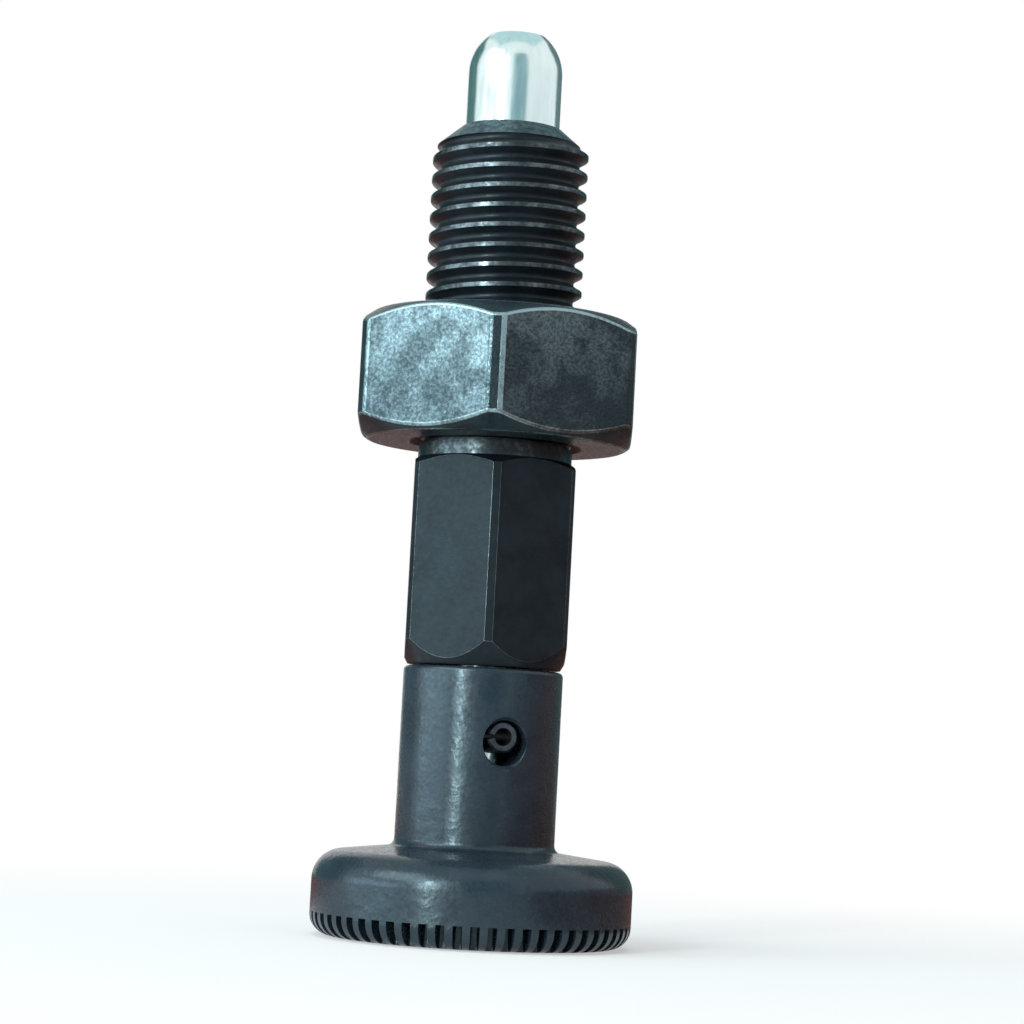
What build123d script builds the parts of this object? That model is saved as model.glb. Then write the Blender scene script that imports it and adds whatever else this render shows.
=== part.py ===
import os
from math import asin, cos, degrees, radians, sin, tan

from build123d import *

os.makedirs("parts", exist_ok=True)

# Indexing plunger without a rest position: a threaded guide with a lock nut, and a spring-loaded
# pin that a knob pulls back. All sizes are in millimetres, angles in degrees.
# The plunger stands on its knob: the origin is the middle of the knob's flat end, and +Z runs
# up the axis to the pin's nose. It is drawn at rest, with the spring holding the pin out.

# ---------------------------------------------------------------- driving dimensions

# Guide body, turned from hexagon bar
hex_width = 10.0  # across the flats
hex_length = 13.0
hex_corner_radius = 0.4
hex_end_circle = 9.6  # diameter of the flat circle that the end cones leave
hex_front_angle = 35.0  # front cone, measured from the end face
hex_rear_angle = 60.0  # rear cone, a steeper lead towards the knob
thread_diameter = 10.0  # M10, drawn as its outer cylinder
sleeve_length = 21.2  # from the hexagon's front to the guide's front end
sleeve_chamfer = 1.5  # length of the front chamfer
sleeve_lip = 0.2  # flat ring left around the mouth of the bore
neck_length = 1.0  # unthreaded neck in front of the hexagon
neck_relief = 0.15  # the neck lies this far inside the thread's outer cylinder
neck_groove = 0.2  # width and depth of the run-out groove
web_thickness = 2.0  # end wall behind the spring

# Lock nut
nut_width = 17.0  # across the flats
nut_height = 8.0
nut_corner_radius = 0.4
nut_end_circle = 16.2
nut_angle = 35.0
nut_countersink = 0.5  # how much wider the bore's mouths are, on each side
nut_stand_off = 1.0  # distance from the hexagon's front
nut_turn = -3.4  # about the axis, against the hexagon of the body

# Plunger pin
pin_diameter = 6.0
pin_projection = 6.0  # how far it stands out at rest, which is its stroke
nose_radius = 2.5  # arc that rounds the nose down to its flat tip
nose_length = 2.05
stem_share = 2 / 3  # the stem's diameter as a share of the pin's
stem_reach = 8.0  # how far the stem enters the knob
stem_chamfer = 0.4

# Spring
spring_length = 18.0  # from the web to the pin's shoulder, at rest
spring_wire = 0.6
spring_turns = 4  # working turns, between one closed turn at each end
spring_grind = 0.2  # flat ground off the outer turns

# Knob
knob_length = 16.9
shank_diameter = 10.0
shank_edge_radius = 0.3
disc_diameter = 20.0
disc_height = 5.1  # where the side would meet the crowned upper face
disc_crown_angle = 7.0
disc_shoulder_radius = 1.9
disc_neck_radius = 0.5
disc_rim_radius = 1.3
groove_count = 60
groove_width = 0.6  # at the middle of the rim's arc
groove_floor = 0.3  # width of the groove's flat bottom
groove_depth = 0.5
stem_bore_depth = 9.0

# Cross pin, a slotted spring pin
cross_diameter = 2.0
cross_wall = 0.45
cross_length = 9.0
cross_bevel = 0.15
cross_slot = 0.3
cross_depth = 4.2  # from the knob's upper end to the pin's axis
cross_direction = -73.4  # about the axis, from +X
cross_hole_diameter = 2.8  # hole in the knob: the pin bears on its upper side

# Clearances, each on one side
pin_clearance = 0.03
stem_clearance = 0.05
stem_fit = 0.05  # stem in the knob
nut_clearance = 0.05
cross_clearance = 0.02
spring_clearance = 0.05  # at each seat
coil_clearance = 0.01  # round the wire, where the end turns lie on their neighbours
knob_clearance = 0.1  # between the knob and the hexagon's rear face

# ---------------------------------------------------------------- places on the axis

knob_top = knob_length
hex_rear = knob_top + knob_clearance
hex_front = hex_rear + hex_length
web_front = hex_rear + web_thickness
pin_shoulder = web_front + spring_length
sleeve_front = hex_front + sleeve_length
pin_tip = sleeve_front + pin_projection
stem_end = knob_top - stem_reach
cross_height = knob_top - cross_depth
nut_rear = hex_front + nut_stand_off
nut_front = nut_rear + nut_height

# ---------------------------------------------------------------- radii

thread_radius = thread_diameter / 2
pin_radius = pin_diameter / 2
stem_radius = stem_share * pin_radius
bore_radius = pin_radius + pin_clearance
stem_hole_radius = stem_radius + stem_clearance
cross_radius = cross_diameter / 2
cross_hole_radius = cross_hole_diameter / 2
shank_radius = shank_diameter / 2
disc_radius = disc_diameter / 2


def end_cone_reach(width, end_circle):
    """How far a hexagon's sharp corners stand out past the circle of its end faces."""
    return width / 2 / cos(radians(30)) - end_circle / 2


def turned_envelope(width, end_circle, bottom, top, bottom_angle, top_angle):
    """Half section of a cylinder round a hexagon, with a cone at each end."""
    reach = end_cone_reach(width, end_circle)
    inner = end_circle / 2
    outer = inner + reach
    Polyline(
        (0, bottom),
        (inner, bottom),
        (outer, bottom + reach * tan(radians(bottom_angle))),
        (outer, top - reach * tan(radians(top_angle))),
        (inner, top),
        (0, top),
        close=True,
    )


# ---------------------------------------------------------------- guide body

with BuildPart() as guide_body:
    # Hexagon with two of its corners on the Y axis, turned to a cone at both ends
    with BuildSketch(Plane.XY.offset(hex_rear)):
        RegularPolygon(hex_width / 2, 6, major_radius=False, rotation=30)
        fillet(vertices(), hex_corner_radius)
    extrude(amount=hex_length)
    with BuildSketch(Plane.XZ):
        with BuildLine():
            turned_envelope(
                hex_width, hex_end_circle, hex_rear, hex_front, hex_rear_angle, hex_front_angle
            )
        make_face()
    revolve(axis=Axis.Z, mode=Mode.INTERSECT)

    # Neck with its run-out groove, thread and front chamfer
    with BuildSketch(Plane.XZ):
        with BuildLine():
            neck_radius = thread_radius - neck_relief
            groove_radius = neck_radius - neck_groove
            groove_front = hex_front + neck_length
            Polyline(
                (0, web_front),
                (bore_radius + sleeve_lip, web_front),
                (neck_radius, hex_front),
                (neck_radius, groove_front - neck_groove),
                (groove_radius, groove_front - neck_groove),
                (groove_radius, groove_front),
                (thread_radius, groove_front + thread_radius - groove_radius),
                (thread_radius, sleeve_front - sleeve_chamfer),
                (bore_radius + sleeve_lip, sleeve_front),
                (0, sleeve_front),
                close=True,
            )
        make_face()
    revolve(axis=Axis.Z)

    # Guide bore from the front, and the stem's hole through the web
    with BuildSketch(Plane.XY.offset(web_front)):
        Circle(bore_radius)
    extrude(amount=sleeve_front - web_front, mode=Mode.SUBTRACT)
    with BuildSketch(Plane.XY.offset(hex_rear)):
        Circle(stem_hole_radius)
    extrude(amount=web_thickness, mode=Mode.SUBTRACT)

guide_body.part.label = "guide_body"
export_step(guide_body.part, "parts/guide_body.step")

# ---------------------------------------------------------------- lock nut

with BuildPart() as lock_nut:
    with BuildSketch(Plane.XY.offset(nut_rear)):
        RegularPolygon(nut_width / 2, 6, major_radius=False, rotation=30 + nut_turn)
        fillet(vertices(), nut_corner_radius)
    extrude(amount=nut_height)
    with BuildSketch(Plane.XZ):
        with BuildLine():
            turned_envelope(nut_width, nut_end_circle, nut_rear, nut_front, nut_angle, nut_angle)
        make_face()
    revolve(axis=Axis.Z, mode=Mode.INTERSECT)

    # Threaded bore, drawn as the cylinder that runs over the thread, with a cone at each mouth
    nut_bore_radius = thread_radius + nut_clearance
    with BuildSketch(Plane.XY.offset(nut_rear)):
        Circle(nut_bore_radius)
    extrude(amount=nut_height, mode=Mode.SUBTRACT)
    chamfer(edges().filter_by(GeomType.CIRCLE).group_by(SortBy.RADIUS)[0], nut_countersink)

lock_nut.part.label = "lock_nut"
export_step(lock_nut.part, "parts/lock_nut.step")

# ---------------------------------------------------------------- plunger pin

cross_plane = Plane(
    origin=(0, 0, cross_height),
    x_dir=(0, 0, 1),
    z_dir=(cos(radians(cross_direction)), sin(radians(cross_direction)), 0),
)

with BuildPart() as plunger_pin:
    with BuildSketch(Plane.XZ):
        with BuildLine():
            Polyline(
                (0, stem_end),
                (stem_radius - stem_chamfer, stem_end),
                (stem_radius, stem_end + stem_chamfer),
                (stem_radius, pin_shoulder),
                (pin_radius, pin_shoulder),
                (pin_radius, pin_tip - nose_length),
            )
            nose = CenterArc(
                center=(pin_radius - nose_radius, pin_tip - nose_length),
                radius=nose_radius,
                start_angle=0,
                arc_size=degrees(asin(nose_length / nose_radius)),
            )
            Polyline(nose @ 1, (0, pin_tip), (0, stem_end))
        make_face()
    revolve(axis=Axis.Z)

    # Hole for the cross pin
    with BuildSketch(cross_plane):
        Circle(cross_radius + cross_clearance)
    extrude(amount=pin_diameter, both=True, mode=Mode.SUBTRACT)

plunger_pin.part.label = "plunger_pin"
export_step(plunger_pin.part, "parts/plunger_pin.step")

# ---------------------------------------------------------------- spring

with BuildPart() as spring:
    spring_bottom = web_front + spring_clearance
    spring_top = pin_shoulder - spring_clearance
    spring_radius = (stem_radius + bore_radius) / 2  # midway between the stem and the bore
    path_bottom = spring_bottom + spring_wire / 2 - spring_grind
    path_top = spring_top - spring_wire / 2 + spring_grind
    working_height = path_top - path_bottom - 2 * spring_wire
    with BuildLine() as spring_path:
        Helix(spring_wire, spring_wire, spring_radius, center=(0, 0, path_bottom))
        Helix(
            working_height / spring_turns,
            working_height,
            spring_radius,
            center=(0, 0, path_bottom + spring_wire),
        )
        Helix(spring_wire, spring_wire, spring_radius, center=(0, 0, path_top - spring_wire))
    with BuildSketch(Plane(spring_path.line @ 0, z_dir=spring_path.line % 0)):
        Circle(spring_wire / 2 - coil_clearance)
    sweep(path=spring_path.wires()[0], is_frenet=True)
    split(bisect_by=Plane.XY.offset(spring_bottom), keep=Keep.TOP)
    split(bisect_by=Plane.XY.offset(spring_top), keep=Keep.BOTTOM)

spring.part.label = "spring"
export_step(spring.part, "parts/spring.step")

# ---------------------------------------------------------------- knob

# Cutter for one groove of the rim, on the line that crosses the rim's arc at 45 degrees.
# Its section is a V with a flat bottom, and its own Y axis points into the rim.
with BuildPart() as groove_cutter:
    rim_middle = disc_rim_radius * (1 - cos(radians(45)))
    groove_slope = (groove_width - groove_floor) / 2 / groove_depth
    groove_mouth = groove_width / 2 + groove_depth * groove_slope
    with BuildSketch(
        Plane(origin=(disc_radius - rim_middle, 0, rim_middle), x_dir=(0, 1, 0), z_dir=(1, 0, 1))
    ):
        Polygon(
            (-groove_floor / 2, groove_depth),
            (groove_floor / 2, groove_depth),
            (groove_mouth, -groove_depth),
            (-groove_mouth, -groove_depth),
            align=None,
        )
    extrude(amount=2 * disc_rim_radius, both=True)

with BuildPart() as knob:
    # Turned outline: flat end, rounded rim, side, shoulder, crowned face and shank
    crown_rise = (disc_radius - shank_radius) * tan(radians(disc_crown_angle))
    with BuildSketch(Plane.XZ):
        with BuildLine():
            FilletPolyline(
                (0, 0),
                (disc_radius, 0),
                (disc_radius, disc_height),
                (shank_radius, disc_height + crown_rise),
                (shank_radius, knob_top),
                (0, knob_top),
                radius=[disc_rim_radius, disc_shoulder_radius, disc_neck_radius, shank_edge_radius],
            )
            Line((0, knob_top), (0, 0))
        make_face()
    revolve(axis=Axis.Z)

    # Serrated rim: the grooves run out of the flat end and out of the side
    with PolarLocations(0, groove_count):
        add(groove_cutter.part, mode=Mode.SUBTRACT)

    # Blind bore for the stem
    with BuildSketch(Plane.XY.offset(knob_top - stem_bore_depth)):
        Circle(stem_radius + stem_fit)
    extrude(amount=stem_bore_depth, mode=Mode.SUBTRACT)

    # Cross hole, lower than the pin by the play between them
    cross_play = cross_hole_radius - cross_radius - cross_clearance
    with BuildSketch(cross_plane):
        with Locations((-cross_play, 0)):
            Circle(cross_hole_radius)
    extrude(amount=shank_diameter, both=True, mode=Mode.SUBTRACT)

knob.part.label = "knob"
export_step(knob.part, "parts/knob.step")

# ---------------------------------------------------------------- cross pin

with BuildPart() as cross_pin:
    with BuildSketch(cross_plane):
        Circle(cross_radius)
        Circle(cross_radius - cross_wall, mode=Mode.SUBTRACT)
    extrude(amount=cross_length / 2, both=True)
    chamfer(edges().filter_by(GeomType.CIRCLE).group_by(SortBy.RADIUS)[-1], cross_bevel)
    with BuildSketch(cross_plane):
        with Locations((0, -cross_radius)):
            Rectangle(cross_slot, cross_diameter)
    extrude(amount=cross_length, both=True, mode=Mode.SUBTRACT)

cross_pin.part.label = "cross_pin"
export_step(cross_pin.part, "parts/cross_pin.step")
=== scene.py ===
import math

import bmesh
import bpy
from mathutils import Matrix, Vector


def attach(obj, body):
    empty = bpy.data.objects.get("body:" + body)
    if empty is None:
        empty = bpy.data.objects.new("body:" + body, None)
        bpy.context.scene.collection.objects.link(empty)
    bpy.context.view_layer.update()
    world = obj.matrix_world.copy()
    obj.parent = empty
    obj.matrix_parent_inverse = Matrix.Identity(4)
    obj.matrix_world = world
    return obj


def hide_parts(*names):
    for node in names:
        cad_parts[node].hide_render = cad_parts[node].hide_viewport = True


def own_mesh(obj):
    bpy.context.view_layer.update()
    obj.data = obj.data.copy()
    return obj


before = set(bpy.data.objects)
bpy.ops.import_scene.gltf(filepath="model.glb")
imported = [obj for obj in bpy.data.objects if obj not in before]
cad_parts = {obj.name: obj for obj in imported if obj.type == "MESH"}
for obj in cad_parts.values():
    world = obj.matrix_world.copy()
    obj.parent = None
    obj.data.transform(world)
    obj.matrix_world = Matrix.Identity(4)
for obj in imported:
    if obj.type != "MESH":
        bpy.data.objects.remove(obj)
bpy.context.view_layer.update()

# ------------------------------------------------------------------ guide body
# The guide is one piece of free-cutting steel, turned from hexagon bar and blackened: a hexagon with
# coned ends, a short neck, and a threaded sleeve with a reamed bore. The black oxide is satin and a
# little mottled, and rubbed brighter along its edges.

MM = 0.001


def turned(profile, steps=144):
    """A closed solid turned about Z from (radius, height) points in millimetres, both ends on the axis."""
    bm = bmesh.new()
    points = [bm.verts.new((radius, 0, height)) for radius, height in profile]
    lines = [bm.edges.new(pair) for pair in zip(points, points[1:])]
    bmesh.ops.spin(bm, geom=points + lines, cent=(0, 0, 0), axis=(0, 0, 1), dvec=(0, 0, 0),
                   angle=math.tau, steps=steps, use_merge=True, use_duplicate=False)
    bmesh.ops.remove_doubles(bm, verts=bm.verts[:], dist=0.0005)
    bmesh.ops.recalc_face_normals(bm, faces=bm.faces[:])
    return bm


def hexagon_bar(width, corner_flat, bottom, top, turn=0.0):
    """A length of hexagon bar with blunted corners, two of them on the Y axis before the turn."""
    bm = bmesh.new()
    place = Matrix.Translation((0, 0, bottom)) @ Matrix.Rotation(math.radians(turn), 4, "Z")
    bmesh.ops.create_circle(bm, cap_ends=True, segments=6, radius=width / math.sqrt(3), matrix=place)
    bmesh.ops.bevel(bm, geom=bm.verts[:], offset=corner_flat / math.sqrt(3), offset_type="OFFSET", segments=1,
                    profile=0.5, affect="VERTICES", material=-1)
    grown = bmesh.ops.extrude_face_region(bm, geom=bm.faces[:])
    far_end = [v for v in grown["geom"] if isinstance(v, bmesh.types.BMVert)]
    bmesh.ops.translate(bm, verts=far_end, vec=(0, 0, top - bottom))
    bmesh.ops.recalc_face_normals(bm, faces=bm.faces[:])
    return bm


def coned_bar(width, end_circle, bottom, top, bottom_angle, top_angle):
    """Outline of the cones that a lathe leaves at the two ends of a hexagon."""
    inner = end_circle / 2
    reach = width / math.sqrt(3) - inner
    return [
        (0, bottom),
        (inner, bottom),
        (inner + reach, bottom + reach * math.tan(math.radians(bottom_angle))),
        (inner + reach, top - reach * math.tan(math.radians(top_angle))),
        (inner, top),
        (0, top),
    ]


def combined(bm, other, operation):
    """Two solids cut or joined; both are used up, and the result is a new bmesh."""
    objects = []
    for number, solid in enumerate((bm, other)):
        mesh = bpy.data.meshes.new(f"blank_{number}")
        solid.to_mesh(mesh)
        solid.free()
        objects.append(bpy.data.objects.new(mesh.name, mesh))
        bpy.context.scene.collection.objects.link(objects[-1])
    cut = objects[0].modifiers.new("cut", "BOOLEAN")
    cut.operation = operation
    cut.object = objects[1]
    cut.solver = "EXACT"
    result = bmesh.new()
    result.from_object(objects[0], bpy.context.evaluated_depsgraph_get())
    for obj in objects:
        mesh = obj.data
        bpy.data.objects.remove(obj)
        bpy.data.meshes.remove(mesh)
    bmesh.ops.remove_doubles(result, verts=result.verts[:], dist=0.0002)
    return result


def wear_layer(bm):
    """The layer that says how worn each face is, from 0 to 1."""
    return bm.faces.layers.float.get("worn") or bm.faces.layers.float.new("worn")


def broken_edges(bm, width, low=15.0, high=100.0):
    """Breaks the edges sharper than low with a small round, and marks the new faces as worn."""
    worn = wear_layer(bm)
    sharp = [e for e in bm.edges if e.is_manifold and low < math.degrees(e.calc_face_angle()) < high]
    made = bmesh.ops.bevel(bm, geom=sharp, offset=width, offset_type="OFFSET", segments=2, profile=0.5,
                           affect="EDGES", clamp_overlap=True, material=-1)
    for face in made["faces"]:
        face[worn] = 1.0


def marked(bm, amount, chosen):
    """Marks the chosen faces as worn. chosen gets each face's radius, its height, its upward slope and the
    way it faces, in degrees from the front, -Y, growing towards +X."""
    worn = wear_layer(bm)
    for face in bm.faces:
        middle, normal = face.calc_center_median(), face.normal
        if chosen(middle.xy.length, middle.z, normal.z, math.degrees(math.atan2(normal.x, -normal.y))):
            face[worn] = amount


def thread_rod(pitch, crest_radius, root_radius, crest_flat, crest_height, bottom, top, steps=96):
    """A rod with a right-hand 60 degree thread; a crest crosses the +X side at crest_height."""
    lean = math.tan(math.radians(30))
    root_round, root_hollow, crest_round, crest_fall = 0.05, 0.012, 0.03, 0.008
    crest_half = crest_flat / 2
    root_half = pitch / 2 - crest_half - (crest_radius - root_radius) * lean
    rising = [
        (root_radius, 0.0),
        (root_radius + root_hollow, 0.65 * root_half),
        (root_radius + root_round / lean, root_half + root_round),
        (crest_radius - crest_round / lean, pitch / 2 - crest_half - crest_round),
        (crest_radius - crest_fall, pitch / 2 - crest_half + 0.02),
        (crest_radius, pitch / 2),
    ]
    falling = [(radius, pitch - height) for radius, height in reversed(rising[:-1])]
    first = crest_height - pitch / 2
    first -= pitch * (math.ceil((first - bottom) / pitch) + 1)
    turns = math.ceil((top - first) / pitch) + 1
    bm = bmesh.new()
    points = [bm.verts.new((radius, 0, first + height)) for radius, height in rising + falling]
    lines = [bm.edges.new(pair) for pair in zip(points, points[1:])]
    bmesh.ops.spin(bm, geom=points + lines, cent=(0, 0, 0), axis=(0, 0, 1), dvec=(0, 0, pitch / steps),
                   angle=math.tau * turns, steps=turns * steps, use_merge=False, use_duplicate=False)
    bmesh.ops.remove_doubles(bm, verts=bm.verts[:], dist=0.001)
    for height, side in ((bottom, -1), (top, 1)):
        bmesh.ops.bisect_plane(bm, geom=bm.verts[:] + bm.edges[:] + bm.faces[:], dist=0.00001,
                               plane_co=(0, 0, height), plane_no=(0, 0, side), clear_outer=True)
        rim = [e for e in bm.edges if e.is_boundary and all(abs(v.co.z - height) < 0.001 for v in e.verts)]
        bmesh.ops.edgeloop_fill(bm, edges=rim)
    bmesh.ops.recalc_face_normals(bm, faces=bm.faces[:])
    return bm


def placed(name, bm, soft_angle=32):
    """The finished piece at the origin in metres, smooth but for its sharp edges."""
    bmesh.ops.scale(bm, vec=(MM, MM, MM), verts=bm.verts[:])
    mesh = bpy.data.meshes.new(name)
    bm.to_mesh(mesh)
    bm.free()
    mesh.shade_smooth()
    mesh.set_sharp_from_angle(angle=math.radians(soft_angle))
    obj = bpy.data.objects.new(name, mesh)
    bpy.context.scene.collection.objects.link(obj)
    normals = obj.modifiers.new("flat faces stay flat", "WEIGHTED_NORMAL")
    normals.keep_sharp = True
    return obj


def new_group(name, inputs, outputs):
    """An empty shader node group with its sockets, its input node and its output node."""
    tree = bpy.data.node_groups.new(name, "ShaderNodeTree")
    for label, kind, value in inputs:
        socket = tree.interface.new_socket(name=label, in_out="INPUT", socket_type=kind)
        if value is not None:
            socket.default_value = value
    for label, kind in outputs:
        tree.interface.new_socket(name=label, in_out="OUTPUT", socket_type=kind)
    return tree, tree.nodes.new("NodeGroupInput"), tree.nodes.new("NodeGroupOutput")


def ramp_between(tree, value, low, high, to_low=0.0, to_high=1.0):
    """A smooth step of a value from low to high."""
    node = tree.nodes.new("ShaderNodeMapRange")
    node.interpolation_type = "SMOOTHSTEP"
    node.inputs["From Min"].default_value = low
    node.inputs["From Max"].default_value = high
    node.inputs["To Min"].default_value = to_low
    node.inputs["To Max"].default_value = to_high
    tree.links.new(value, node.inputs["Value"])
    return node.outputs["Result"]


def mixed_colour(tree, factor, first, second):
    """A mix of two colours, each a plain colour or a socket."""
    node = tree.nodes.new("ShaderNodeMix")
    node.data_type = "RGBA"
    sockets = {socket.identifier: socket for socket in node.inputs}
    tree.links.new(factor, sockets["Factor_Float"])
    for socket, colour in ((sockets["A_Color"], first), (sockets["B_Color"], second)):
        if isinstance(colour, bpy.types.NodeSocket):
            tree.links.new(colour, socket)
        else:
            socket.default_value = (*colour, 1)
    return next(socket for socket in node.outputs if socket.identifier == "Result_Color")


def worked_out(tree, operation, first, second=None, third=None):
    """One step of arithmetic on values or sockets."""
    node = tree.nodes.new("ShaderNodeMath")
    node.operation = operation
    for socket, value in zip(node.inputs, (first, second, third)):
        if isinstance(value, bpy.types.NodeSocket):
            tree.links.new(value, socket)
        elif value is not None:
            socket.default_value = value
    return node.outputs[0]


def fine_grain():
    """Grain, mottling and specks of a finished surface, from one coordinate in millimetres."""
    tree, given, made = new_group(
        "fine grain",
        (("Vector", "NodeSocketVector", None), ("Grain per mm", "NodeSocketFloat", 4.0),
         ("Mottle per mm", "NodeSocketFloat", 0.6)),
        (("Grain", "NodeSocketFloat"), ("Mottle", "NodeSocketFloat"), ("Specks", "NodeSocketFloat")),
    )
    for label, rate, detail, low, high in (
        ("Grain", "Grain per mm", 3.0, 0.3, 0.7),
        ("Mottle", "Mottle per mm", 4.0, 0.35, 0.68),
        ("Specks", "Grain per mm", 1.0, 0.66, 0.76),
    ):
        noise = tree.nodes.new("ShaderNodeTexNoise")
        noise.inputs["Detail"].default_value = detail
        noise.inputs["Roughness"].default_value = 0.6
        tree.links.new(given.outputs["Vector"], noise.inputs["Vector"])
        tree.links.new(given.outputs[rate], noise.inputs["Scale"])
        tree.links.new(ramp_between(tree, noise.outputs["Fac"], low, high), made.inputs[label])
    return tree


def rubbed_edge():
    """How far the finish is rubbed off: along the marked edges, broken up by the grain."""
    tree, given, made = new_group(
        "rubbed edge",
        (("Edge", "NodeSocketFloat", 0.0), ("Grain", "NodeSocketFloat", 0.5),
         ("Mottle", "NodeSocketFloat", 0.5), ("Amount", "NodeSocketFloat", 0.5)),
        (("Mask", "NodeSocketFloat"),),
    )
    level = worked_out(tree, "MULTIPLY", given.outputs["Edge"], given.outputs["Amount"])
    broken = ramp_between(tree, given.outputs["Grain"], 0.0, 1.0, 0.6, 1.4)
    patchy = ramp_between(tree, given.outputs["Mottle"], 0.1, 0.9, 0.65, 1.35)
    tree.links.new(worked_out(tree, "MULTIPLY", level, worked_out(tree, "MULTIPLY", broken, patchy)),
                   made.inputs["Mask"])
    return tree


FINE_GRAIN = fine_grain()
RUBBED_EDGE = rubbed_edge()


def started_material(name, stretch=(1, 1, 1)):
    """A material with its Principled shader, and Object coordinates turned into millimetres."""
    material = bpy.data.materials.new(name)
    material.use_nodes = True
    tree = material.node_tree
    shader = tree.nodes["Principled BSDF"]
    place = tree.nodes.new("ShaderNodeTexCoord")
    in_mm = tree.nodes.new("ShaderNodeMapping")
    in_mm.inputs["Scale"].default_value = [s / MM for s in stretch]
    tree.links.new(place.outputs["Object"], in_mm.inputs["Vector"])
    return material, tree, shader, in_mm.outputs["Vector"]


def used_group(tree, group, **inputs):
    """A group placed in a material, with its inputs set or linked."""
    node = tree.nodes.new("ShaderNodeGroup")
    node.node_tree = group
    for label, value in inputs.items():
        socket = node.inputs[label.replace("_", " ")]
        if isinstance(value, bpy.types.NodeSocket):
            tree.links.new(value, socket)
        else:
            socket.default_value = value
    return node.outputs


def textured(tree, shader, height, depth_mm):
    """A bump from a height between 0 and 1, that deep."""
    bump = tree.nodes.new("ShaderNodeBump")
    bump.inputs["Strength"].default_value = 1.0
    bump.inputs["Distance"].default_value = depth_mm * MM
    tree.links.new(height, bump.inputs["Height"])
    tree.links.new(bump.outputs["Normal"], shader.inputs["Normal"])


def blackened_steel(name, dark, light, rubbed, roughness, grain_mm, depth_mm, painted_highlight_heights=None):
    """Black oxide over steel: a dark satin skin with a mottled grain, rubbed through where it is worn.
    An optional pair of heights in millimetres adds painted light to that wear: the rubbed metal grows from
    the first height to the second and falls off towards the sides, so the upper middle is lighter and the
    lower sides darker."""
    material, tree, shader, vector = started_material(name)
    grain = used_group(tree, FINE_GRAIN, Vector=vector, Grain_per_mm=grain_mm, Mottle_per_mm=0.45)
    edge = tree.nodes.new("ShaderNodeAttribute")
    edge.attribute_name = "worn"
    amount = 1.0
    # Painted highlight: this height ramp puts more bright rubbed metal towards the top and the middle, and
    # less towards the bottom and the sides, to stand in for how the light falls.
    if painted_highlight_heights:
        place = tree.nodes.new("ShaderNodeSeparateXYZ")
        tree.links.new(vector, place.inputs["Vector"])
        side = worked_out(tree, "ABSOLUTE", place.outputs["X"])
        towards = worked_out(tree, "MULTIPLY_ADD", side, -0.4, place.outputs["Z"])
        amount = ramp_between(tree, towards, *painted_highlight_heights, 0.75, 1.85)
    mask = used_group(tree, RUBBED_EDGE, Edge=edge.outputs["Fac"], Grain=grain["Grain"],
                      Mottle=grain["Mottle"], Amount=amount)["Mask"]
    skin = mixed_colour(tree, grain["Mottle"], dark, light)
    skin = mixed_colour(tree, worked_out(tree, "MULTIPLY", grain["Grain"], 0.4), skin, light)
    tree.links.new(mixed_colour(tree, mask, skin, rubbed), shader.inputs["Base Color"])
    tree.links.new(ramp_between(tree, mask, 0.0, 0.1), shader.inputs["Metallic"])
    satin = ramp_between(tree, grain["Grain"], 0, 1, roughness + 0.07, roughness - 0.07)
    tree.links.new(satin, shader.inputs["Roughness"])
    shader.inputs["Specular IOR Level"].default_value = 0.25
    shader.inputs["Specular Tint"].default_value = (0.75, 0.93, 1.0, 1)
    textured(tree, shader, grain["Grain"], depth_mm)
    return material


# Blanks and cutters run past the finished faces by this much, so that no two end faces share a plane.
over = 1.0

hex_width, hex_bottom, hex_top = 10.0, 17.0, 30.0
hex_corner_flat, hex_end_circle, hex_edge = 0.5, 9.6, 0.09
knob_end_angle, neck_end_angle = 60, 35
neck_radius, neck_groove, groove_front = 4.85, 0.2, 31.0
sleeve_top, sleeve_chamfer, mouth_radius, blank_radius = 51.2, 1.5, 3.23, 5.2
bore_radius, web_top, stem_hole_radius, bore_chamfer = 3.03, 19.0, 2.05, 0.2
thread = {"pitch": 1.25, "crest_flat": 0.30, "crest_height": 44.62}
thread_radius, thread_root = 4.95, 4.40

guide = hexagon_bar(hex_width, hex_corner_flat, hex_bottom - over, hex_top + over)
guide = combined(guide, turned(coned_bar(
    hex_width, hex_end_circle, hex_bottom, hex_top, knob_end_angle, neck_end_angle)), "INTERSECT")
broken_edges(guide, hex_edge)

sleeve = thread_rod(crest_radius=thread_radius, root_radius=thread_root, bottom=hex_top - over,
                    top=sleeve_top + 0.3, **thread)
core_radius, core_front, core_back = 4.5, groove_front - 0.18, hex_top - over / 2
sleeve = combined(sleeve, turned([
    (0, core_back), (core_radius, core_back), (core_radius, core_front),
    (blank_radius, core_front + blank_radius - core_radius),
    (blank_radius, sleeve_top - sleeve_chamfer - 0.17), (mouth_radius, sleeve_top), (0, sleeve_top),
], 192), "INTERSECT")

groove_radius, groove_back = neck_radius - neck_groove, groove_front - neck_groove
neck = turned([
    (0, hex_top - over), (neck_radius, hex_top - over), (neck_radius, groove_back),
    (groove_radius, groove_back), (groove_radius, groove_front), (0, groove_front),
])
guide = combined(guide, neck, "UNION")
guide = combined(guide, sleeve, "UNION")

flared_radius = bore_radius + bore_chamfer
guide = combined(guide, turned([
    (0, hex_bottom - over), (stem_hole_radius, hex_bottom - over), (stem_hole_radius, web_top),
    (bore_radius, web_top), (bore_radius, sleeve_top - 0.15), (flared_radius, sleeve_top + 0.05),
    (flared_radius, sleeve_top + 1.8), (0, sleeve_top + 1.8),
]), "DIFFERENCE")

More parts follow.
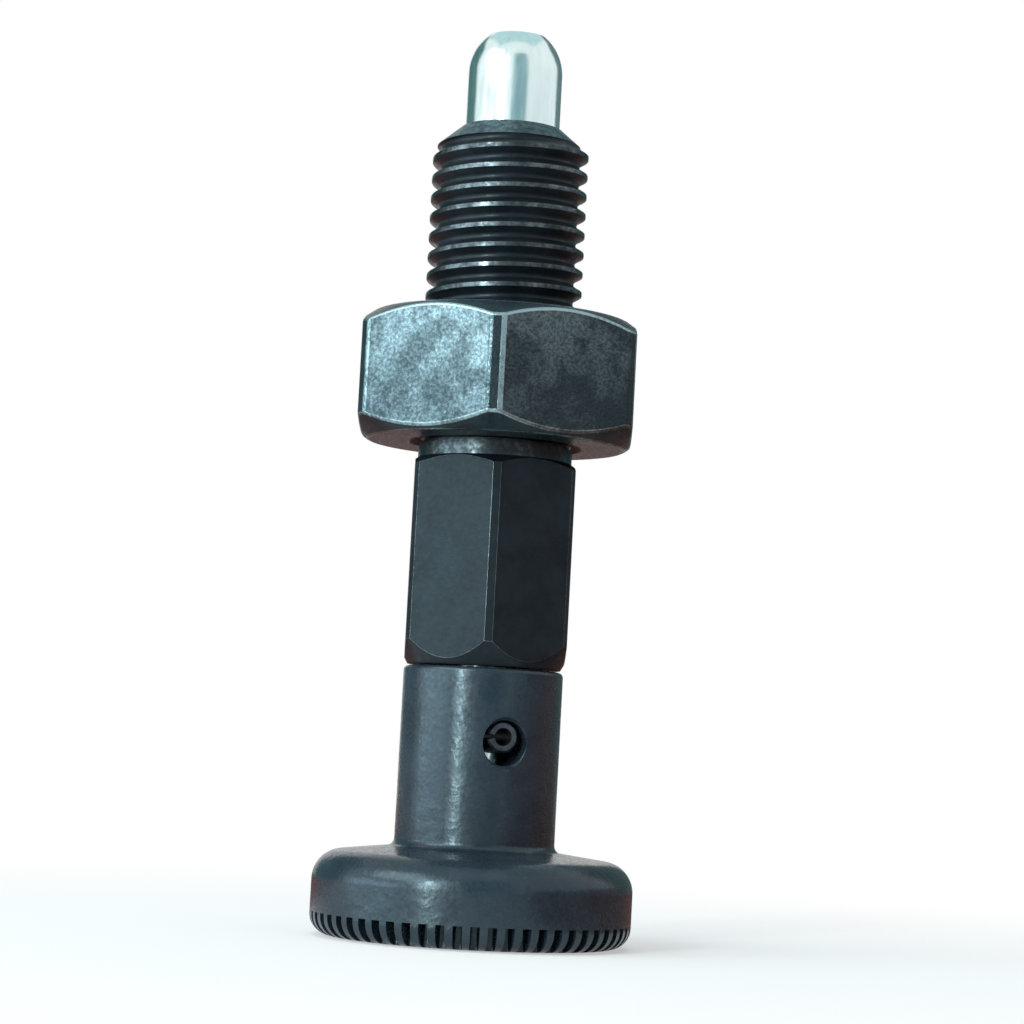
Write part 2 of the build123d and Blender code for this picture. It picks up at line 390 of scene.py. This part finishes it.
marked(guide, 0.21, lambda radius, height, slope, facing:
       radius > thread_radius - 0.03 and height > groove_front)
marked(guide, 0.25, lambda radius, height, slope, facing:
       height > sleeve_top - sleeve_chamfer - 0.1 and 0.74 < slope < 0.79)
marked(guide, 0.12, lambda radius, height, slope, facing:
       hex_top < height < groove_front and 4.0 < radius < 4.9 and abs(slope) < 0.1)
guide_body = placed("threaded_guide", guide)
guide_body.data.materials.append(blackened_steel(
    "blackened guide", dark=(0.0042, 0.0062, 0.008), light=(0.0105, 0.0148, 0.0188),
    rubbed=(0.38, 0.45, 0.47), roughness=0.36, grain_mm=3.0, depth_mm=0.004))
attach(guide_body, "guide")
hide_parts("guide_body")

# ------------------------------------------------------------------ spring
# The spring is cold-wound from round wire, with its end turns closed and ground flat. It sits in the
# bore between the guide's end wall and the pin's shoulder, and shortens as the pin is pulled back.

spring_bottom, spring_top, wire_radius, coil_radius = 19.05, 36.95, 0.29, 2.515
working_turns, closed_pitch, ground, steps_per_turn = 4, 0.6, 0.2, 60

spring = bmesh.new()
path_bottom = spring_bottom + closed_pitch / 2 - ground
path_top = spring_top - closed_pitch / 2 + ground
working_pitch = (path_top - path_bottom - 2 * closed_pitch) / working_turns
wire = bmesh.ops.create_circle(
    spring, cap_ends=False, segments=14, radius=wire_radius,
    matrix=Matrix.Translation((coil_radius, 0, path_bottom)) @ Matrix.Rotation(math.pi / 2, 4, "X"))
section = wire["verts"] + list({e for v in wire["verts"] for e in v.link_edges})
for turns, rise in ((1, closed_pitch), (working_turns, working_pitch), (1, closed_pitch)):
    steps = steps_per_turn * turns
    section = bmesh.ops.spin(
        spring, geom=section, cent=(0, 0, 0), axis=(0, 0, 1), dvec=(0, 0, rise * turns / steps),
        angle=math.tau * turns, steps=steps, use_merge=False, use_duplicate=False)["geom_last"]
for height, side in ((spring_bottom, -1), (spring_top, 1)):
    bmesh.ops.bisect_plane(spring, geom=spring.verts[:] + spring.edges[:] + spring.faces[:], dist=0.00001,
                           plane_co=(0, 0, height), plane_no=(0, 0, side), clear_outer=True)
bmesh.ops.holes_fill(spring, edges=[e for e in spring.edges if e.is_boundary], sides=0)
bmesh.ops.recalc_face_normals(spring, faces=spring.faces[:])
coil_spring = placed("coil_spring", spring)


def plain_steel(name, colour, tint, roughness, grain_mm, depth_mm, stretch=(1, 1, 1)):
    """Bare steel with the fine marks of its finishing."""
    material, tree, shader, vector = started_material(name, stretch)
    grain = used_group(tree, FINE_GRAIN, Vector=vector, Grain_per_mm=grain_mm, Mottle_per_mm=0.5)
    half_mottle = worked_out(tree, "MULTIPLY", grain["Mottle"], 0.5)
    tone = worked_out(tree, "MULTIPLY_ADD", grain["Grain"], 0.5, half_mottle)
    tree.links.new(mixed_colour(tree, tone, colour, tint), shader.inputs["Base Color"])
    tree.links.new(ramp_between(tree, grain["Grain"], 0, 1, roughness - 0.04, roughness + 0.05),
                   shader.inputs["Roughness"])
    shader.inputs["Metallic"].default_value = 1.0
    textured(tree, shader, grain["Grain"], depth_mm)
    return material


coil_spring.data.materials.append(plain_steel(
    "spring wire", colour=(0.22, 0.22, 0.23), tint=(0.38, 0.38, 0.39), roughness=0.3, grain_mm=2.0,
    depth_mm=0.002))
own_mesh(coil_spring)
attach(coil_spring, "carrier")
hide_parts("spring")

# ------------------------------------------------------------------ plunger pin
# The pin is hardened steel, ground bright over its whole guided length, with a rounded nose and a
# flat tip. Behind its shoulder a thinner stem runs through the spring and into the knob.

pin_radius, pin_tip, pin_chamfer, nose_radius, nose_length, nose_steps = 3.0, 57.2, 0.1, 3.2, 2.4, 14
shoulder, stem_radius, stem_end, stem_chamfer = 37.0, 2.0, 8.9, 0.4
cross_height, cross_radius, cross_turn, cross_play = 12.7, 1.0, -73.4, 0.02
nose_angles = [math.asin(nose_length / nose_radius) * step / nose_steps for step in range(nose_steps + 1)]
nose = [
    (pin_radius - nose_radius + nose_radius * math.cos(a), pin_tip - nose_length + nose_radius * math.sin(a))
    for a in nose_angles
]


def across(half, height, sides=48):
    """A solid turned about a level line through the axis, given by half its outline, from the middle out."""
    outline = [(0, -half[-1][1])] + [(r, -x) for r, x in reversed(half)] + list(half) + [(0, half[-1][1])]
    bm = turned(outline, sides)
    bmesh.ops.transform(bm, verts=bm.verts[:], matrix=(
        Matrix.Translation((0, 0, height)) @ Matrix.Rotation(math.radians(cross_turn), 4, "Z")
        @ Matrix.Rotation(math.pi / 2, 4, "Y")))
    return bm


pin = turned([
    (0, stem_end), (stem_radius - stem_chamfer, stem_end), (stem_radius, stem_end + stem_chamfer),
    (stem_radius, shoulder), (pin_radius - pin_chamfer, shoulder), (pin_radius, shoulder + pin_chamfer), *nose,
    (nose[-1][0] - 0.06, pin_tip), (0, pin_tip),
], 128)
pin = combined(pin, across([(cross_radius + cross_play, 2 * stem_radius)], cross_height), "DIFFERENCE")
plunger_pin = placed("ground_pin", pin)
plunger_pin.data.materials.append(plain_steel(
    "ground pin", colour=(0.66, 0.80, 0.80), tint=(0.76, 0.90, 0.90), roughness=0.17, grain_mm=1.5,
    depth_mm=0.001, stretch=(2.0, 2.0, 0.3)))
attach(plunger_pin, "plunger")
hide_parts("plunger_pin")

# ------------------------------------------------------------------ knob
# The knob is moulded in black thermoplastic: a straight shank, and a mushroom disc with a crowned
# upper face. Sixty grooves, moulded in from below round the disc's rim, give the fingers their grip.

knob_top, shank_radius, disc_radius = 16.9, 5.0, 10.0
disc_height, crown_angle = 5.1, 7.0
rim_radius, shoulder_radius, neck_round, shank_edge = 1.3, 1.9, 0.5, 0.3
groove_count, groove_width, groove_depth, groove_top, groove_round = 60, 0.56, 1.2, 1.45, 0.16
stem_socket, socket_play = 7.9, 0.05
side_hole_radius, side_hole_lip, side_hole_drop = 1.4, 0.2, 0.38


def rounded(corners, radii, segments):
    """The points of an outline with its corners rounded."""
    points = [corners[0]]
    for before, corner, after, radius, parts in zip(corners, corners[1:], corners[2:], radii, segments):
        before, corner, after = Vector(before), Vector(corner), Vector(after)
        back, ahead = (before - corner).normalized(), (after - corner).normalized()
        half = back.angle(ahead) / 2
        middle = (back + ahead).normalized()
        centre = corner + middle * (radius / math.sin(half))
        start = back * (radius / math.tan(half)) - middle * (radius / math.sin(half))
        sweep = (math.pi - 2 * half) * (1 if back.cross(ahead) < 0 else -1)
        for part in range(parts + 1):
            points.append(tuple(centre + Matrix.Rotation(sweep * part / parts, 2) @ start))
    return points + [corners[-1]]


crown_rise = (disc_radius - shank_radius) * math.tan(math.radians(crown_angle))
knob = turned(rounded(
    [(0, 0), (disc_radius, 0), (disc_radius, disc_height), (shank_radius, disc_height + crown_rise),
     (shank_radius, knob_top), (0, knob_top)],
    [rim_radius, shoulder_radius, neck_round, shank_edge], [10, 14, 6, 4]), 240)

core_length, core_height = 2.0, 3.0
grooves = bmesh.new()
for number in range(groove_count):
    middle = (disc_radius - groove_depth + core_length / 2, 0, groove_top - core_height / 2)
    place = (Matrix.Rotation(math.tau * number / groove_count, 4, "Z") @ Matrix.Translation(middle)
             @ Matrix.Diagonal((core_length, groove_width, core_height, 1)))
    core = bmesh.ops.create_cube(grooves, size=1, matrix=place)["verts"]
    inner = sorted(core, key=lambda v: v.co.xy.length)[:4]
    upright = {e for v in inner for e in v.link_edges if e.other_vert(v) in inner
               and abs(e.verts[0].co.z - e.verts[1].co.z) > core_height / 2}
    bmesh.ops.bevel(grooves, geom=list(upright), offset=groove_round, offset_type="OFFSET", segments=4,
                    profile=0.5, affect="EDGES", material=-1)
knob = combined(knob, grooves, "DIFFERENCE")
socket_radius = stem_radius + socket_play
knob = combined(knob, turned([
    (0, stem_socket), (socket_radius, stem_socket), (socket_radius, knob_top + over), (0, knob_top + over),
], 64), "DIFFERENCE")
knob = combined(knob, across([
    (side_hole_radius, shank_radius - side_hole_lip), (side_hole_radius + side_hole_lip, shank_radius),
    (side_hole_radius + side_hole_lip, shank_radius + 2),
], cross_height - side_hole_drop), "DIFFERENCE")
grip_knob = placed("mushroom_knob", knob, 40)


def moulded_plastic(name, dark, light, roughness):
    """Black moulded plastic with a fine spark-eroded skin, slightly wavy, and a little pale dust."""
    material, tree, shader, vector = started_material(name)
    grain = used_group(tree, FINE_GRAIN, Vector=vector, Grain_per_mm=3.5, Mottle_per_mm=0.35)
    skin = mixed_colour(tree, grain["Mottle"], dark, light)
    dust = worked_out(tree, "MULTIPLY", grain["Specks"], 0.04)
    tree.links.new(mixed_colour(tree, dust, skin, (0.35, 0.38, 0.40)), shader.inputs["Base Color"])
    tree.links.new(ramp_between(tree, grain["Grain"], 0, 1, roughness + 0.06, roughness - 0.06),
                   shader.inputs["Roughness"])
    shader.inputs["Specular IOR Level"].default_value = 0.5
    shader.inputs["Specular Tint"].default_value = (0.75, 0.95, 1.0, 1)
    waves = worked_out(tree, "MULTIPLY_ADD", grain["Grain"], 0.1, grain["Mottle"])
    textured(tree, shader, waves, 0.02)
    return material


grip_knob.data.materials.append(moulded_plastic(
    "black thermoplastic", dark=(0.010, 0.016, 0.024), light=(0.017, 0.026, 0.036), roughness=0.27))
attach(grip_knob, "plunger")
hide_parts("knob")

# ------------------------------------------------------------------ cross pin
# A slotted spring pin, rolled from spring steel strip, holds the knob on the stem. It goes through
# the wider hole in the shank, near the top of that hole.

cross_wall, cross_length, cross_bevel, slot_width = 0.45, 9.0, 0.15, 0.3

roll = bmesh.new()
strip = [
    (cross_radius - cross_wall, -cross_length / 2), (cross_radius - cross_bevel, -cross_length / 2),
    (cross_radius, -cross_length / 2 + cross_bevel), (cross_radius, cross_length / 2 - cross_bevel),
    (cross_radius - cross_bevel, cross_length / 2), (cross_radius - cross_wall, cross_length / 2),
]
strip_end = roll.faces.new([roll.verts.new((radius, 0, height)) for radius, height in strip])
slot_angle = slot_width / (cross_radius - cross_wall / 2)
bmesh.ops.spin(roll, geom=[strip_end], cent=(0, 0, 0), axis=(0, 0, 1), dvec=(0, 0, 0),
               angle=math.tau - slot_angle, steps=48, use_merge=False, use_duplicate=False)
bmesh.ops.recalc_face_normals(roll, faces=roll.faces[:])
bmesh.ops.transform(roll, verts=roll.verts[:], matrix=(
    Matrix.Translation((0, 0, cross_height)) @ Matrix.Rotation(math.radians(cross_turn), 4, "Z")
    @ Matrix.Rotation(math.pi / 2, 4, "Y") @ Matrix.Rotation(slot_angle / 2 - math.pi / 2, 4, "Z")))
spring_pin = placed("slotted_spring_pin", roll)
spring_pin.data.materials.append(plain_steel(
    "rolled spring steel", colour=(0.03, 0.04, 0.05), tint=(0.11, 0.14, 0.16), roughness=0.42, grain_mm=3.0,
    depth_mm=0.003))
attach(spring_pin, "plunger")
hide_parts("cross_pin")

# ------------------------------------------------------------------ lock nut
# A plain hexagon nut with both ends coned, blackened and a little worn on its flats, with painted light
# on them: the rubbed metal grows brighter towards the top and the middle, and the right-hand front
# flat is rubbed less, as painted shade. It runs on the guide's thread, with its own thread cut to the
# same helix, and is locked against the plate.

nut_width, nut_bottom, nut_top, nut_turn = 17.0, 31.0, 39.0, -3.4
nut_corner_flat, nut_end_circle, nut_angle, nut_edge = 0.8, 16.2, 35, 0.15
nut_play, mouth_depth, corner_ease = 0.05, 1.3, 0.17
tap_below, tap_above = 0.47, 0.43


def eased_corners(bm, width, turn):
    """Rounds and wears the edge of each corner flat that a spanner bears on when it tightens the nut."""
    worn = wear_layer(bm)
    corner = 30 + turn
    bearing = []
    for edge in bm.edges:
        first, second = (v.co for v in edge.verts)
        past_corner = math.degrees(math.atan2(first.y, first.x)) % 60 - corner
        if abs(first.z - second.z) > 1 and 0.5 < past_corner < 10:
            bearing.append(edge)
    made = bmesh.ops.bevel(bm, geom=bearing, offset=width, offset_type="OFFSET", segments=3, profile=0.5,
                           affect="EDGES", material=-1)
    for face in made["faces"]:
        face[worn] = 1.0


def on_nut_flat(radius, slope):
    """Whether a face lies on one of the nut's six flats."""
    return abs(radius - nut_width / 2) < 0.4 and abs(slope) < 0.01


nut = hexagon_bar(nut_width, nut_corner_flat, nut_bottom - over, nut_top + over, nut_turn)
eased_corners(nut, corner_ease, nut_turn)
nut = combined(nut, turned(coned_bar(
    nut_width, nut_end_circle, nut_bottom, nut_top, nut_angle, nut_angle)), "INTERSECT")
broken_edges(nut, nut_edge)
marked(nut, 0.12, lambda radius, height, slope, facing:
       radius > nut_width / 2 + 0.8 and abs(slope) < 0.1 and 32 < (facing - nut_turn) % 60 < 58)

nut = combined(nut, thread_rod(crest_radius=thread_radius + nut_play, root_radius=thread_root + nut_play,
                               bottom=nut_bottom - tap_below, top=nut_top + tap_above, **thread), "DIFFERENCE")
mouth = thread_radius + nut_play + 0.5
nut = combined(nut, turned([
    (0, nut_bottom - over), (mouth + over, nut_bottom - over), (mouth, nut_bottom),
    (mouth - mouth_depth, nut_bottom + mouth_depth), (0, nut_bottom + mouth_depth),
], 96), "DIFFERENCE")
nut = combined(nut, turned([
    (0, nut_top - mouth_depth), (mouth - mouth_depth, nut_top - mouth_depth), (mouth, nut_top),
    (mouth + over, nut_top + over), (0, nut_top + over),
], 96), "DIFFERENCE")
# The flats carry rubbed metal as wear. The right-hand front flat, facing 20 to 35 degrees, gets about half as
# much, as painted shade on the side turned away from the light.
marked(nut, 0.25, lambda radius, height, slope, facing: on_nut_flat(radius, slope) and not 20 < facing < 35)
marked(nut, 0.13, lambda radius, height, slope, facing: on_nut_flat(radius, slope) and 20 < facing < 35)
lock_nut = placed("hexagon_nut", nut)
# The nut's rubbed metal grows from 29 to 38.5 mm up and towards the middle, as a painted highlight.
lock_nut.data.materials.append(blackened_steel(
    "blackened nut", dark=(0.006, 0.011, 0.014), light=(0.015, 0.026, 0.031), rubbed=(0.30, 0.41, 0.44),
    roughness=0.34, grain_mm=5.0, depth_mm=0.012, painted_highlight_heights=(29, 38.5)))
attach(lock_nut, "nut")
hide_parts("lock_nut")

# ------------------------------------------------------------------ floor and white surroundings
# A pale floor carries the object's shadow and fades into white further out. The object stands on its
# knob, so the floor goes with the knob when the pin is pulled back.


def seen_directly(tree):
    """1 for what the camera sees, straight, mirrored or through glass, and 0 for the light that spreads."""
    rays = tree.nodes.new("ShaderNodeLightPath").outputs
    seen = worked_out(tree, "MAXIMUM", rays["Is Camera Ray"], rays["Is Glossy Ray"])
    return worked_out(tree, "MAXIMUM", seen, rays["Is Transmission Ray"])


floor_mesh = bpy.data.meshes.new("floor")
floor_bm = bmesh.new()
bmesh.ops.create_grid(floor_bm, x_segments=1, y_segments=1, size=4.0,
                      matrix=Matrix.Translation((0, 0, -0.00005)))
floor_bm.to_mesh(floor_mesh)
floor_bm.free()
floor = bpy.data.objects.new("floor", floor_mesh)
bpy.context.scene.collection.objects.link(floor)
floor_material = bpy.data.materials.new("pale floor")
floor_material.use_nodes = True
tree = floor_material.node_tree
surface = tree.nodes["Principled BSDF"]
surface.inputs["Base Color"].default_value = (0.82, 0.82, 0.82, 1)
surface.inputs["Roughness"].default_value = 0.8
surface.inputs["Specular IOR Level"].default_value = 0.0
glow = tree.nodes.new("ShaderNodeEmission")
glow.inputs["Strength"].default_value = 1.0
blend = tree.nodes.new("ShaderNodeMixShader")
spot = tree.nodes.new("ShaderNodeTexCoord")
reach = tree.nodes.new("ShaderNodeVectorMath")
reach.operation = "LENGTH"
tree.links.new(spot.outputs["Object"], reach.inputs[0])
share = ramp_between(tree, reach.outputs["Value"], 0.01, 0.10, 0.45, 1.0)
tree.links.new(worked_out(tree, "MULTIPLY", share, seen_directly(tree)), blend.inputs["Fac"])
tree.links.new(surface.outputs["BSDF"], blend.inputs[1])
tree.links.new(glow.outputs["Emission"], blend.inputs[2])
tree.links.new(blend.outputs["Shader"], tree.nodes["Material Output"].inputs["Surface"])
floor.data.materials.append(floor_material)
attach(floor, "plunger")

world = bpy.data.worlds.new("white room")
world.use_nodes = True
bpy.context.scene.world = world
tree = world.node_tree
background = tree.nodes["Background"]
tree.links.new(ramp_between(tree, seen_directly(tree), 0, 1, 0.2, 1.0), background.inputs["Strength"])
background.inputs["Color"].default_value = (1, 1, 1, 1)

# ------------------------------------------------------------------ studio light
# Two soft boxes at the left and one overhead, with a strip light nearer the front. Cards round the
# object, which the camera doesn't see, keep the white room out of parts of the reflections.


def direction(azimuth, elevation):
    """A unit vector; azimuth 0 is the front, -Y, and it grows towards +X."""
    a, e = math.radians(azimuth), math.radians(elevation)
    return Vector((math.sin(a) * math.cos(e), -math.cos(a) * math.cos(e), math.sin(e)))


def soft_box(name, azimuth, elevation, distance, width, height, power, colour):
    """A soft rectangular light, aimed at the middle of the object."""
    light = bpy.data.lights.new(name, "AREA")
    light.shape = "RECTANGLE"
    light.size, light.size_y = width, height
    light.energy = power
    light.color = colour
    obj = bpy.data.objects.new(name, light)
    bpy.context.scene.collection.objects.link(obj)
    middle = Vector((0, 0, 0.03))
    obj.location = middle + direction(azimuth, elevation) * distance
    obj.rotation_mode = "QUATERNION"
    obj.rotation_quaternion = direction(azimuth, elevation).to_track_quat("Z", "Y")
    return obj


soft_box("low left light", -74, 4, 0.6, 0.50, 0.15, 1.05, (0.64, 0.88, 1.0))
soft_box("high left light", -62, 34, 0.6, 0.40, 0.25, 1.5, (0.80, 0.95, 1.0))
soft_box("strip light", -33, 12, 0.6, 0.07, 0.36, 2.8, (0.80, 0.96, 1.0))
soft_box("top light", -60, 80, 0.45, 0.30, 0.30, 1.0, (0.95, 1.0, 1.0)).visible_glossy = False


def card(name, colour, placing, half_width, half_height):
    """A card of an even brightness, which only reflections and spread light see."""
    material = bpy.data.materials.new(name)
    material.use_nodes = True
    surface = material.node_tree.nodes["Principled BSDF"]
    surface.inputs["Base Color"].default_value = (0, 0, 0, 1)
    surface.inputs["Specular IOR Level"].default_value = 0.0
    surface.inputs["Emission Color"].default_value = (*colour, 1)
    surface.inputs["Emission Strength"].default_value = 1.0
    bm = bmesh.new()
    bmesh.ops.create_grid(bm, x_segments=1, y_segments=1, size=1.0,
                          matrix=placing @ Matrix.Diagonal((half_width, half_height, 1, 1)))
    mesh = bpy.data.meshes.new(name)
    bm.to_mesh(mesh)
    bm.free()
    mesh.materials.append(material)
    obj = bpy.data.objects.new(name, mesh)
    bpy.context.scene.collection.objects.link(obj)
    obj.visible_camera = False
    return obj


def upright_card(name, azimuth, half_angle, bottom, top, colour):
    """A card standing upright, spanning an angle seen from the object."""
    facing, distance = direction(azimuth, 0), 0.45
    card(name, colour, Matrix.Translation(facing * distance + Vector((0, 0, (bottom + top) / 2)))
         @ facing.to_track_quat("Z", "Y").to_matrix().to_4x4(),
         distance * math.tan(math.radians(half_angle)), (top - bottom) / 2)


def lying_card(name, low_x, high_x, low_y, high_y, colour):
    """A card just above the floor that shows in reflections only."""
    lying = card(name, colour, Matrix.Translation(((low_x + high_x) / 2, (low_y + high_y) / 2, 0.0003)),
                 (high_x - low_x) / 2, (high_y - low_y) / 2)
    lying.visible_shadow = False
    lying.visible_diffuse = False


upright_card("front card", 10.5, 18.5, 0, 0.45, (0.31, 0.46, 0.50))
upright_card("low right card", 82, 40, 0, 0.072, (0.40, 0.20, 0.16))
upright_card("right card", 82, 40, 0.072, 0.128, (0.12, 0.26, 0.38))
lying_card("right floor card", 0.015, 0.32, -0.12, 0.30, (0.22, 0.11, 0.09))
lying_card("back floor card", -0.15, 0.015, 0.02, 0.30, (0.27, 0.10, 0.08))
upright_card("tall right card", 145, 23, 0, 0.45, (0.14, 0.21, 0.22))
upright_card("tall left card", -134, 25, 0, 0.45, (0.10, 0.20, 0.20))
card("ceiling card", (0.60, 0.78, 0.80), Matrix.Translation((0, 0.15, 0.52)), 0.3, 0.3)

# ------------------------------------------------------------------ camera
# Low and slightly to the left, a little turned, with a long lens.

camera_data = bpy.data.cameras.new("camera")
camera_data.sensor_width = 36
camera_data.lens = 99.74
camera_data.shift_x = 0.0196
camera_data.clip_start, camera_data.clip_end = 0.01, 20
camera = bpy.data.objects.new("camera", camera_data)
bpy.context.scene.collection.objects.link(camera)
aim, camera_distance = Vector((0, 0, 0.0268)), 0.1787
view_from = direction(-1.87, -4.92)
camera.location = aim + view_from * camera_distance
camera.rotation_mode = "QUATERNION"
camera.rotation_quaternion = (view_from.to_track_quat("Z", "Y").to_matrix().to_4x4()
                              @ Matrix.Rotation(math.radians(3.07), 4, "Z")).to_quaternion()
bpy.context.scene.camera = camera
bpy.context.scene.view_settings.view_transform = "Standard"
